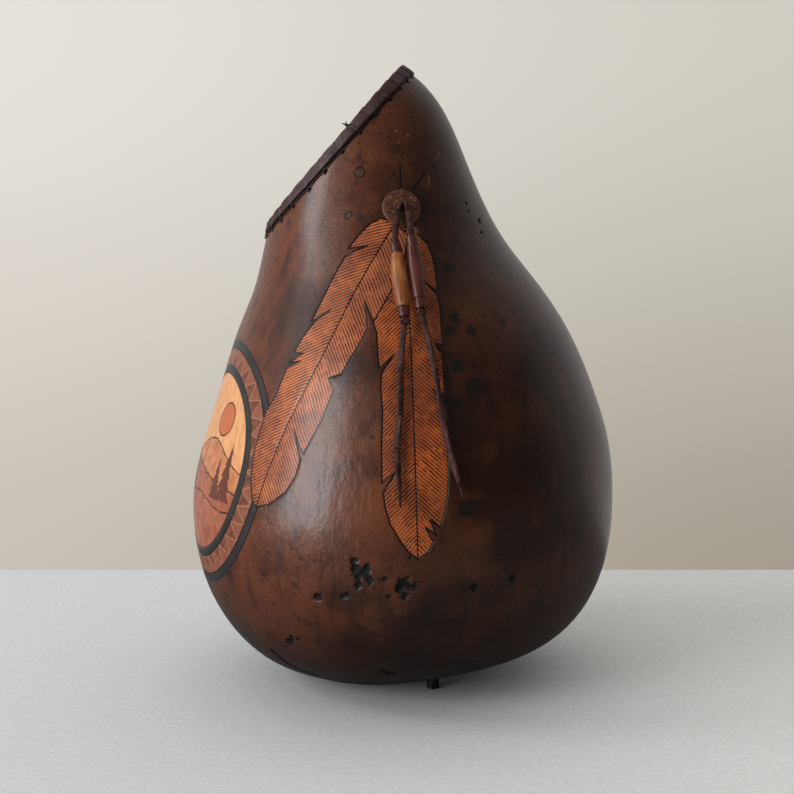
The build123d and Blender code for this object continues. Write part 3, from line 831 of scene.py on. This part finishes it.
# The leather's section has 18 places: over is how far round the wall each lies, 0 at the outer edge.
section_over = [0, 0, 0.08, 0.16, 0.26, 0.36, 0.42, 0.46, 0.5, 0.54, 0.58, 0.64, 0.8, 0.95, 1, 1, 0.5, 0.5]
leather_rings, leather_turns, leather_over, cord_line, cord_radii = [], [], [], [], []
rim_steps = 240
for step in range(rim_steps):
    turn = 360 * step / rim_steps
    out = mouth_way(turn)
    low_outer, top_outer, top_inner, low_inner = wall_corners(turn)
    climb = (top_outer - low_outer).normalized()
    inner_climb = (top_inner - low_inner).normalized()
    outer_way = (out - climb * out.dot(climb)).normalized()
    inner_way = (inner_climb * out.dot(inner_climb) - out).normalized()
    puff = abs(math.sin(math.pi * (turn - stitch_first) / stitch_step)) ** 0.7
    ripple = noise.noise(Vector((turn * 0.35, 3, 0))) * 0.16
    ripple += noise.noise(Vector((turn * 0.9, 0, 8))) * 0.1
    thick = (1.15 + 0.42 * puff + ripple * (1 - 0.5 * puff)) * pulled_thin(turn)
    sag = 0.25 * puff + noise.noise(Vector((0, turn * 0.12, 5))) * 0.3
    leather_rings.append(
        [
            low_outer + outer_way * 0.12 - climb * sag,
            low_outer + outer_way * (0.7 * thick) - climb * (0.12 + sag),
            low_outer + outer_way * thick + climb * 0.45,
            low_outer.lerp(top_outer, 0.35) + outer_way * (thick + 0.12 * puff),
            low_outer.lerp(top_outer, 0.7) + outer_way * (thick + 0.08 * puff),
            top_outer + outer_way * (0.95 * thick) + mouth_up * (0.2 * thick),
            top_outer + outer_way * (0.66 * thick) + mouth_up * (0.72 * thick),
            top_outer.lerp(top_inner, 0.2) + mouth_up * thick,
            top_outer.lerp(top_inner, 0.5) + mouth_up * (thick + 0.1 * puff),
            top_outer.lerp(top_inner, 0.8) + mouth_up * thick,
            top_inner + inner_way * (0.66 * thick) + mouth_up * (0.72 * thick),
            top_inner + inner_way * (0.95 * thick) + mouth_up * (0.1 * thick),
            low_inner.lerp(top_inner, 0.5) + inner_way * (thick + 0.1 * puff),
            low_inner + inner_way * thick + inner_climb * 0.4,
            low_inner + inner_way * (0.6 * thick) - inner_climb * 0.1,
            low_inner + inner_way * 0.12,
            top_inner + inner_way * 0.1 + mouth_up * 0.1,
            top_outer + outer_way * 0.1 + mouth_up * 0.1,
        ]
    )
    leather_turns += [turn] * len(section_over)
    leather_over += section_over
    dip = 0.5 + 0.75 * (1 - puff) + 0.5 * sag
    below = rim_point(turn, edge_middle - edge_up * dip, edge_up, gourd_radius)
    cord_line.append(below + outer_way * 0.27)
    cord_radii.append(0.24 + 0.05 * (1 - puff))

rim_leather = made("rim_leather_fold", bridged(leather_rings, closed=True))
marked(rim_leather, "turn", slice(None), leather_turns)
marked(rim_leather, "over", slice(None), leather_over)
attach(rim_leather, "gourd")
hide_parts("rim_leather")

leather = Finish("rim_leather_hide", specular=0.45)
turn_here, over_here = leather.kept("turn"), leather.kept("over")
stitch_here = (turn_here - stitch_first) / stitch_step + 60.5
from_stitch = abs(leather.maths("FRACT", stitch_here) - 0.5) * stitch_step
folded = 1 - leather.rising(abs(over_here - 0.45), 0.03, 0.2)
pores = leather.grain(0.9, 3)
hide_colour = leather.clouded(colour(44, 22, 21), leather.grain(7, 4), 0.35, 0.65, 1, (66, 38, 37))
hide_colour = leather.mix(folded * 0.55, hide_colour, colour(80, 34, 31))
creased = leather.line(from_stitch - 0.75 + leather.grain(3, 2), 0.35)
hide_colour = leather.mix(creased * 0.35, hide_colour, colour(104, 76, 72))
near_stitch = 1 - leather.rising(from_stitch, 3, 5.5)
hide_colour = leather.clouded(hide_colour, leather.grain(4, 5), 0.56, 0.72, near_stitch * 0.5, (104, 82, 80))
hide_colour = leather.mix(leather.line(over_here, 0.03) * 0.8, hide_colour, colour(34, 20, 20))
wrinkled = leather.grain(2.4, 3, stretch=(1, 1, 1.5))
leather.paint(hide_colour, 0.42 + 0.25 * pores, wrinkled + 0.35 * pores, raise_by=0.45)
leather.onto(rim_leather)

# ---- waxed cord: one cord of waxed black thread laid along the leather's lower edge ----
# The stitches pass over it and pull it down between the leather's puffs, so its line scallops.


def round_ring(centre, along, radius, sides):
    """A ring of places round a centre, square to a way."""
    across = along.orthogonal().normalized()
    other = along.cross(across).normalized()
    turns = [2 * math.pi * side / sides for side in range(sides)]
    return [centre + (across * math.cos(turn) + other * math.sin(turn)) * radius for turn in turns]


def along_line(line, i, closed=False):
    """The way a line runs at one of its points."""
    if closed:
        return (line[(i + 1) % len(line)] - line[i - 1]).normalized()
    return (line[min(i + 1, len(line) - 1)] - line[max(i - 1, 0)]).normalized()


def thread(line, radii, sides, closed=False):
    """A round thread along a line, with a radius at each of its points."""
    rings = []
    for i, (place, radius) in enumerate(zip(line, radii)):
        ring = round_ring(place, along_line(line, i, closed), radius, sides)
        if rings:
            shift = min(range(sides), key=lambda side: (ring[side] - rings[-1][0]).length)
            ring = ring[shift:] + ring[:shift]
        rings.append(ring)
    return bridged(rings, closed)


edge_cord = made("rim_waxed_cord", thread(cord_line, cord_radii, 8, closed=True))
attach(edge_cord, "gourd")
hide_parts("rim_edge_cord")

waxed_thread = Finish("waxed_black_thread", specular=0.4)
twist = waxed_thread.grain(0.7, 2, stretch=(1, 1, 1.6))
thread_colour = waxed_thread.clouded(colour(16, 13, 12), twist, 0.4, 0.7, 0.7, (44, 36, 33))
waxed_thread.paint(thread_colour, 0.5, twist, raise_by=0.2)
waxed_thread.onto(edge_cord)

# ---- whip stitches: one waxed black thread taken over the rim through 30 drilled holes ----
# Each turn comes out of its hole, goes over the folded leather and back into the hole from inside.


def smooth_route(route):
    """The points along a smooth line through a route."""
    curve = bpy.data.curves.new("route", "CURVE")
    curve.dimensions = "3D"
    spline = curve.splines.new("NURBS")
    spline.points.add(len(route) - 1)
    for point, place in zip(spline.points, route):
        point.co = (*place, 1)
    spline.order_u = 3
    spline.use_endpoint_u = True
    spline.resolution_u = 12
    holder = bpy.data.objects.new("route", curve)
    mesh = bpy.data.meshes.new_from_object(holder)
    line = [vertex.co.copy() for vertex in mesh.vertices]
    bpy.data.objects.remove(holder)
    bpy.data.meshes.remove(mesh)
    return line


stitch_shapes = []
for stitch in range(stitch_count):
    turn = stitch_first + stitch_step * stitch
    out = mouth_way(turn)
    hole_outer = rim_point(turn, hole_middle, edge_up, gourd_radius)
    hole_inner = rim_point(turn, hole_middle, edge_up, hollow_radius)
    low_outer, top_outer, top_inner, low_inner = wall_corners(turn)
    inward = (hole_inner - hole_outer).normalized()
    lift = 1.15 * pulled_thin(turn) + 0.28
    slip = mouth_up.cross(out) * (0.5 * noise.noise(Vector((stitch * 1.7, 0.3, 0))))
    route = [
        hole_outer + inward * 1.6,
        hole_outer - inward * 0.2,
        hole_outer.lerp(low_outer, 0.6) - inward * 1.1,
        low_outer.lerp(top_outer, 0.45) + out * lift + slip,
        top_outer + out * lift * 0.95 + slip,
        top_outer + out * (0.7 * lift) + mouth_up * (1.1 * lift) + slip,
        top_outer.lerp(top_inner, 0.5) + mouth_up * (1.12 * lift) + slip * 1.4,
        top_inner - out * (0.7 * lift) + mouth_up * (1.05 * lift) + slip,
        low_inner.lerp(top_inner, 0.6) - out * lift + slip,
        low_inner - out * lift,
        hole_inner + inward * 0.3,
        hole_inner - inward * 1.6,
    ]
    line = smooth_route(route)[::3]
    stitch_shapes.append(thread(line, [0.27] * len(line), 6))
stitches = made("rim_whip_stitches", joined(stitch_shapes))
waxed_thread.onto(stitches)
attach(stitches, "gourd")
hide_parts("rim_stitches")


# ---- tie knot: the thread tied off on top of the rim at its ninth stitch ----
# It is an overhand knot of the same waxed thread, pulled tight, with two short cut tails.


def knot_shape(centre, way, loop, swell, radius, sides, steps):
    """A strand laid in an overhand knot pulled up round a way: two turns, with three crossings."""
    across = way.orthogonal().normalized()
    other = way.cross(across)
    line = []
    for step in range(steps):
        turn = 2 * math.pi * step / steps
        flat = across * math.cos(2 * turn) + other * math.sin(2 * turn)
        out = loop + swell * math.cos(3 * turn)
        line.append(centre + flat * out + way * (swell * math.sin(3 * turn)))
    return thread(line, [radius] * steps, sides, closed=True)


tie_turn = stitch_first + 8 * stitch_step
tie_side = mouth_way(tie_turn).cross(mouth_up)
tie_outer = rim_point(tie_turn, mouth_middle, mouth_up, gourd_radius)
tie_inner = rim_point(tie_turn, mouth_middle, mouth_up, hollow_radius)
tie_centre = tie_outer.lerp(tie_inner, 0.45) + mouth_up * 2.0
tie_shapes = [knot_shape(tie_centre, tie_side, 0.66, 0.34, 0.34, 7, 36)]
for lean, rise, curl in ((-0.9, 1.5, -0.5), (0.5, 2.4, 0.6)):
    tail = [
        tie_centre,
        tie_centre + mouth_up * (0.4 * rise) + tie_side * (0.3 * lean),
        tie_centre + mouth_up * (0.8 * rise) + tie_side * lean,
        tie_centre + mouth_up * rise + tie_side * (lean + curl),
    ]
    line = smooth_route(tail)[::3]
    tie_shapes.append(thread(line, [0.3] * len(line), 6))
tie = made("rim_tied_knot", joined(tie_shapes))
waxed_thread.onto(tie)
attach(tie, "gourd")
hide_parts("rim_tie_knot")

# ---- disc: a round of coconut shell, drilled in the middle and sanded smooth ----
# The doubled lace comes through the gourd's wall and the disc, and a knot inside holds it.

disc_foot = Vector((-1.42702, -54.4958, 246.5))
disc_way = Vector((0.170916, -0.901672, 0.397209)).normalized()
disc_across = Vector((0, 0, 1)).cross(disc_way).normalized()
disc_turn = Matrix((disc_across, disc_way.cross(disc_across), disc_way)).transposed()
disc_shape = turned(
    [
        (2.3, 0.5), (2.5, 0.32), (8.9, 0.3), (9.3, 0.5), (9.45, 0.9), (9.45, 1.55), (9.3, 1.95),
        (8.9, 2.2), (6.5, 2.27), (4.2, 2.3), (2.75, 2.3), (2.4, 2.15), (2.3, 1.8), (2.3, 0.5),
    ],
    72,
)
bmesh.ops.subdivide_edges(disc_shape, edges=disc_shape.edges, cuts=1, use_grid_fill=True)
for vertex in disc_shape.verts:
    uneven = noise.noise(vertex.co * 0.3) * 0.5 + noise.noise(vertex.co * 0.9) * 0.25
    if math.hypot(vertex.co.x, vertex.co.y) > 8.5:
        vertex.co.x *= 1 - 0.012 * (1 + uneven)
        vertex.co.y *= 1 - 0.012 * (1 + uneven)
    if vertex.co.z > 1.2:
        vertex.co.z -= 0.07 * (1 + uneven)
bmesh.ops.rotate(disc_shape, matrix=disc_turn, verts=disc_shape.verts)
bmesh.ops.translate(disc_shape, vec=disc_foot, verts=disc_shape.verts)
disc = made("coconut_round", disc_shape)
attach(disc, "disc")
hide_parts("coconut_disc")

coconut = Finish("coconut_shell", specular=0.3, coat=0.08, coat_roughness=0.35)
shell_cloud = coconut.grain(5, 4)
dark_pores = coconut.rising(coconut.grain(0.8, 2), 0.62, 0.72)
shell_colour = coconut.clouded(colour(66, 34, 22), shell_cloud, 0.35, 0.65, 1, (92, 51, 33))
shell_colour = coconut.clouded(shell_colour, coconut.grain(1.0, 1), 0.61, 0.67, 0.75, (150, 106, 74))
shell_colour = coconut.mix(dark_pores * 0.6, shell_colour, colour(46, 27, 20))
# Painted highlight: the shell is painted lighter at its rim, all round, standing for its edge catching the
# light.
from_disc = coconut.away(disc_foot + disc_way * 1.3)
shell_colour = coconut.clouded(shell_colour, from_disc, 9.0, 9.45, 0.6, (128, 86, 66))
coconut.paint(shell_colour, 0.48 + 0.2 * shell_cloud, shell_cloud - dark_pores, raise_by=0.2)
coconut.onto(disc)

# ---- knots: overhand knots tied in the two dark brown leather laces ----
# One under each stack of beads holds it up, and the left lace has a small second one in its tail.

lace_leather = Finish("lace_leather", specular=0.25)
lace_cloud = lace_leather.grain(4, 4)
lace_grain = lace_leather.grain(1.1, 3, stretch=(1, 1, 2.5))
lace_colour = lace_leather.clouded(colour(42, 20, 16), lace_cloud, 0.35, 0.65, 1, (74, 38, 31))
lace_colour = lace_leather.clouded(lace_colour, lace_grain, 0.55, 0.72, 0.6, (28, 14, 12))
lace_leather.paint(lace_colour, 0.5 + 0.2 * lace_grain, lace_grain + 0.5 * lace_cloud, raise_by=0.4)

# Each has a middle, the lace's way through it, and the sizes of its loop, its swell and its strand.
for name, node, side, centre, way, loop, swell, radius in (
    ("left_tied_knot", "left_bead_knot", "left",
     (0.32, -87.95, 194.95), (0.104, -0.474, -0.874), 1.25, 0.62, 1.0),
    ("left_tail_tied_knot", "left_tail_knot", "left",
     (-3.7, -106.4, 137.4), (0.0, -0.29, -0.957), 0.78, 0.42, 0.85),
    ("right_tied_knot", "right_bead_knot", "right",
     (7.9, -85.17, 198.65), (0.111, -0.479, -0.875), 1.25, 0.62, 1.0),
):
    knot = made(name, knot_shape(Vector(centre), Vector(way).normalized(), loop, swell, radius, 12, 72))
    lace_leather.onto(knot)
    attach(knot, f"{side}_strand")
    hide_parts(node)

# ---- laces: two flat strips of the same leather, one through each stack of beads ----
# Each runs from its bend on the disc straight through its beads and hangs down the belly, turning
# a little on itself. Its end is cut to a point.


def flat_ring(centre, wide_way, thick_way, half_width, half_thickness, sides=16):
    """A ring of places round a flat lace with rounded edges."""
    ring = []
    for side in range(sides):
        turn = 2 * math.pi * side / sides
        flat = math.copysign(abs(math.cos(turn)) ** 0.6, math.cos(turn))
        deep = math.copysign(abs(math.sin(turn)) ** 0.8, math.sin(turn))
        ring.append(centre + wide_way * (flat * half_width) + thick_way * (deep * half_thickness))
    return ring


def strip(name, line, face_way, half_width, half_thickness, turn):
    """A flat lace along a line, all in metres, and its length, which sets its width, thickness and turn."""
    travelled = 0.0
    rings = []
    for i, place in enumerate(line):
        if i:
            travelled += (place - line[i - 1]).length
        along = along_line(line, i)
        face_way = (face_way - along * face_way.dot(along)).normalized()
        thick_way = Matrix.Rotation(turn(travelled), 3, along) @ face_way
        wide_way = along.cross(thick_way)
        rings.append(flat_ring(place, wide_way, thick_way, half_width(travelled), half_thickness(travelled)))
    piece = made(name, bridged(rings), scale=1)
    lace_leather.onto(piece)
    return piece, travelled


# The routes are those of the solid laces, in metres.
left_route = [
    (-0.00283, -0.05981, 0.24641),
    (-0.00370, -0.06370, 0.23980),
    (-0.00437, -0.06697, 0.23363),
    (-0.00364, -0.07029, 0.22751),
    (-0.00064, -0.08397, 0.20229),
    (0.00028, -0.08814, 0.19460),
    (-0.00090, -0.08930, 0.18560),
    (-0.00170, -0.09400, 0.17260),
    (-0.00140, -0.09880, 0.15960),
    (-0.00260, -0.10320, 0.14660),
    (-0.00370, -0.10640, 0.13740),
    (-0.00260, -0.10920, 0.12740),
    (-0.00180, -0.11220, 0.11200),
]
right_route = [
    (0.00165, -0.05897, 0.24639),
    (0.00280, -0.06180, 0.24140),
    (0.00300, -0.06405, 0.23722),
    (0.00352, -0.06630, 0.23313),
    (0.00697, -0.08116, 0.20597),
    (0.00794, -0.08536, 0.19830),
    (0.01040, -0.08680, 0.18970),
    (0.01330, -0.09100, 0.17760),
    (0.01550, -0.09550, 0.16530),
    (0.01720, -0.09960, 0.15340),
    (0.01960, -0.10340, 0.14160),
    (0.02260, -0.10620, 0.13060),
    (0.02700, -0.10860, 0.11590),
]


lace_half_width, lace_half_thickness, fold_half_thickness = 0.00155, 0.00088, 0.00095
lace_lengths = {"left": 0.1454, "right": 0.143}


def cut_away(side, s, cut):
    """The share of a lace's tapered end, of the cut's length, that lies before a place along it."""
    return min(max((s - lace_lengths[side] + cut) / cut, 0), 1)


def lace_width(side, s):
    """The half width at a place along a lace."""
    ripple = 1 + 0.07 * math.sin(s * 700) * math.sin(s * 210)
    return lace_half_width * ripple * (1 - 0.72 * cut_away(side, s, 0.015) ** 1.3)


def lace_thickness(side, s):
    """The half thickness at a place along a lace."""
    return lace_half_thickness * (1 - 0.45 * cut_away(side, s, 0.01))


def lace_turn(side, s):
    """How far a lace has turned on itself at a place along it, below its beads."""
    free = min(max((s - 0.06) / 0.02, 0), 1)
    if side == "left":
        return free * (0.55 * math.sin((s - 0.06) * 150) + 0.25 * math.sin(s * 420))
    return free * (0.75 * math.sin((s - 0.055) * 120) + 0.3 * math.sin(s * 390))


for side, route, tied in (
    ("left", left_route, ["left_tied_knot", "left_tail_tied_knot"]),
    ("right", right_route, ["right_tied_knot"]),
):
    line = smooth_route(route)
    lace, length = strip(
        f"{side}_lace_leather", line, Vector((0, -1, 0.3)),
        lambda s: lace_width(side, s), lambda s: lace_thickness(side, s), lambda s: lace_turn(side, s),
    )
    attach(lace, f"{side}_strand")
    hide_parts(f"{side}_lace")

# ---- lace bends: the two laces' upper ends, where they come out of the disc's hole ----
# Each folds over on itself, one to each side, down into its strand. Inside the wall the doubled
# lace ends in a stop knot, which is left as its solid.

for side, sign, start in (("left", -1, left_route[0]), ("right", 1, right_route[0])):
    start = Vector(start) * 1000
    hole = disc_foot + disc_way * 2.2 + disc_across * (sign * 0.75)
    top = disc_foot + disc_way * 5.3 + disc_across * (sign * 1.3) + Vector((0, 0, 1.0))
    over = start.lerp(top, 0.35) + disc_way * 0.55
    route = [hole, hole + disc_way * 2.0, top, over, start]
    fold, _ = strip(
        f"{side}_lace_fold", [point / 1000 for point in smooth_route(route)],
        disc_way + Vector((0, 0, 0.4)),
        lambda s: lace_half_width, lambda s: fold_half_thickness, lambda s: 0.0,
    )
    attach(fold, f"{side}_bend")
    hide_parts(f"{side}_lace_bend")

lace_leather.onto(bpy.data.objects["lace_anchor"])

# ---- beads: buffalo-horn hair pipes, one amber and one red-brown, between short dark caps ----
# They are turned and drilled, then polished. The grain of the horn runs along each.


def horn(name, way, light, dark, deep, pale, streak):
    """Polished horn with its grain along a way: its streaks are deep and pale by that share."""
    finish = Finish(name, coat=0.25, coat_roughness=0.2, specular=0.3)
    turn = way.normalized().rotation_difference(Vector((0, 0, -1))).to_euler()
    wanted = {"Vector": finish.place, "Rotation": tuple(turn)}
    finish.place = finish.node("ShaderNodeMapping", values=wanted)
    bands = finish.grain(2.2, 4, stretch=(1, 1, 9))
    cloud = finish.grain(7, 3, stretch=(1, 1, 2))
    fibres = finish.grain(0.6, 3, stretch=(1, 1, 14))
    horn_colour = finish.clouded(colour(*dark), cloud, 0.36, 0.64, 1, light)
    horn_colour = finish.clouded(horn_colour, bands, 0.52, 0.66, streak, deep)
    horn_colour = finish.clouded(horn_colour, bands, 0.45, 0.3, streak * 0.6, pale)
    horn_colour = finish.clouded(horn_colour, fibres, 0.5, 0.7, 0.25, deep)
    finish.paint(horn_colour, 0.34 + 0.15 * cloud, fibres, raise_by=0.08)
    return finish


amber = ((158, 94, 44), (126, 68, 30), (88, 44, 20), (178, 122, 74))
red_brown = ((90, 40, 28), (67, 26, 18), (43, 16, 11), (110, 58, 44))
dark_cap = ((82, 34, 28), (70, 28, 22), (38, 14, 12), (112, 56, 46))
for side, way, name, tones in (
    ("left", Vector((0.104, -0.474, -0.874)), "amber_horn", amber),
    ("right", Vector((0.111, -0.479, -0.875)), "red_brown_horn", red_brown),
):
    horn(name, way, *tones, 0.6).onto(bpy.data.objects[f"{side}_pipe_bead"])
    cap = horn(f"{side}_cap_horn", way, *dark_cap, 0.5)
    cap.onto(bpy.data.objects[f"{side}_upper_cap"])
    cap.onto(bpy.data.objects[f"{side}_lower_cap"])

# ---- shelf: a pale cloth-covered shelf that the gourd stands on, which ends behind it ----
# It is not part of the gourd. It keeps the gourd's shadow. It is painted lighter towards the right, as
# painted light, and painted dark where the lacquer reflects it, as painted shade.

shelf = bpy.data.objects.new("shelf", bpy.data.meshes.new("shelf"))
bpy.context.scene.collection.objects.link(shelf)
shelf_left, shelf_right, shelf_front, shelf_back = -0.8, 1.1, -0.8, 0.196
shelf_shape = bmesh.new()
bmesh.ops.create_grid(shelf_shape, x_segments=1, y_segments=1, size=1)
for vertex in shelf_shape.verts:
    vertex.co.x = shelf_right if vertex.co.x > 0 else shelf_left
    vertex.co.y = shelf_back if vertex.co.y > 0 else shelf_front
shelf_shape.to_mesh(shelf.data)
shelf_shape.free()
shelf_cloth = Finish("pale_shelf", specular=0.2)
weave = shelf_cloth.grain(3, 3)
across = shelf_cloth.along_axis(shelf_cloth.place, "X")
# Painted light: the shelf is painted lighter towards the right, to make up for the windows' light falling
# off away from them.
shelf_colour = shelf_cloth.clouded(colour(217, 218, 220), across, -0.25, 0.3, 1, (228, 227, 225))
shelf_colour = shelf_cloth.clouded(shelf_colour, weave, 0.35, 0.65, 0.12, (150, 148, 143))
# Painted shade in reflections: where the lacquer reflects it, the shelf is painted dark, standing for the
# shadow round the gourd.
in_lacquer = shelf_cloth.node("ShaderNodeLightPath", out="Is Glossy Ray")
shelf_colour = shelf_cloth.mix(in_lacquer * 0.8, shelf_colour, colour(44, 36, 30))
shelf_cloth.paint(shelf_colour, 0.8, weave, raise_by=0.1)
shelf_cloth.onto(shelf)

# ---- light: a wide window to the left of the front, a smaller one beyond it, and the room ----
# The room's light is plain and dim, and less in front than behind. The camera alone sees its wall, which is
# painted darker to the right and lower down, as painted shade.


window_away, gourd_middle = 3.5, Vector((0, 0, 0.15))


def window(name, azimuth, elevation, width, height, power):
    """A soft window's light on the gourd, from an azimuth to the left of the front and an elevation."""
    light = bpy.data.objects.new(name, bpy.data.lights.new(name, "AREA"))
    bpy.context.scene.collection.objects.link(light)
    light.data.shape = "RECTANGLE"
    light.data.size, light.data.size_y = width, height
    light.data.energy = power
    light.data.color = (0.93, 0.97, 1.0)
    turn, rise = math.radians(azimuth), math.radians(elevation)
    way = Vector((-math.sin(turn) * math.cos(rise), -math.cos(turn) * math.cos(rise), math.sin(rise)))
    light.location = gourd_middle + way * window_away
    light.rotation_euler = way.to_track_quat("Z", "Y").to_euler()
    light.visible_camera = False


window("near_window", 53, 12, 1.75, 2.2, 106)
window("far_window", 84, 33, 1.18, 0.9, 24)

world = bpy.data.worlds.new("room")
bpy.context.scene.world = world
world.use_nodes = True
room = Look(world.node_tree)
way_seen = room.node("ShaderNodeTexCoord", out="Generated")
behind = room.rising(room.along_axis(way_seen, "Y"), -0.4, 0.75)
height_seen = room.along_axis(way_seen, "Z")
overhead = room.rising(height_seen, 0.3, 0.9)
lit = 0.18 + 0.52 * behind + 0.4 * overhead
in_lacquer = room.node("ShaderNodeLightPath", out="Is Glossy Ray")
lit = lit - in_lacquer * (lit - (0.03 + 0.42 * behind + 0.05 * overhead))
light = room.node("ShaderNodeBackground", values={"Color": (1.0, 0.98, 0.95, 1), "Strength": lit})
# Painted shade: the wall is painted darker to the right and lower down, as the windows' light falls off
# across it.
to_right = room.rising(room.along_axis(way_seen, "X"), -0.35, 0.35)
low_wall = room.mix(to_right, colour(200, 192, 180), colour(162, 152, 140))
high_wall = room.mix(to_right, colour(231, 226, 219), colour(206, 203, 193))
wall_colour = room.mix(room.rising(height_seen, -0.3, 0.12), low_wall, high_wall)
wall = room.node("ShaderNodeBackground", values={"Color": wall_colour})
to_camera = room.node("ShaderNodeLightPath", out="Is Camera Ray")
seen = room.node("ShaderNodeMixShader", values={0: to_camera, 1: light, 2: wall})
room.tree.links.new(seen.socket, room.tree.nodes["World Output"].inputs["Surface"])

# ---- camera: at the height of the disc, 0.74 m in front, looking 8 degrees down ----
# It stands where the photograph was taken from.

camera = bpy.data.objects.new("camera", bpy.data.cameras.new("camera"))
bpy.context.scene.collection.objects.link(camera)
camera.data.sensor_width = 36
camera.data.lens = 63.48
camera.location = (-0.0033165, -0.737, 0.250579)
camera.rotation_euler = (math.radians(82), 0, 0)
bpy.context.scene.camera = camera
bpy.context.scene.view_settings.view_transform = "Standard"
